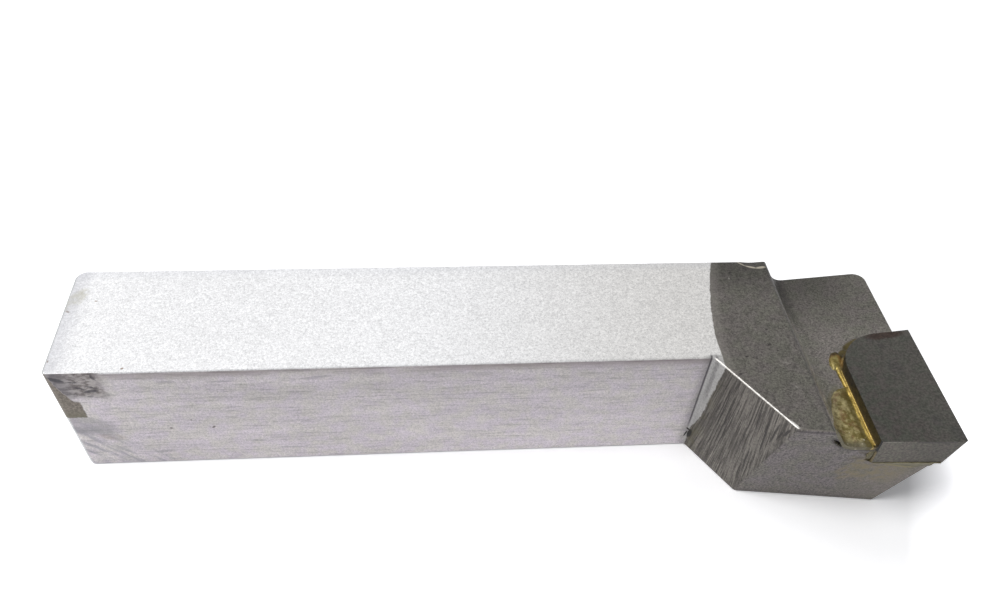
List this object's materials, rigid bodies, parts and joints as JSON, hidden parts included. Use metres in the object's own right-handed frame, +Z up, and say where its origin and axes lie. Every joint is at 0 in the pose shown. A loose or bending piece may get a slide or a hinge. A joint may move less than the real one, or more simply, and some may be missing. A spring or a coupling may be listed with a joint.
{
  "type": "brazed carbide lathe tool",
  "caption": "Lathe facing tool: square painted steel shank with an offset, relieved head and a square-edged carbide tip brazed into an open seat behind a milled pocket.",
  "frame": {"origin": "middle of the shank's base, halfway along the straight shank", "axes": "+X along the shank from the rear end to the cutting edge, +Z up from the base to the top of the shank, and the head is offset to -Y"},
  "size_m": [0.1144, 0.034, 0.0191],
  "materials": {
    "shank_steel": "silver paint over milled steel on the shank, bare dark ground steel on the head",
    "carbide": "ground cemented carbide, matt",
    "braze": "frozen brass filler, glossy in the meniscus and dull where it ran out"
  },
  "bodies": {
    "root": {"steel_shank": "shank_steel", "carbide_tip": "carbide", "braze_filler": "braze"}
  },
  "joints": []
}
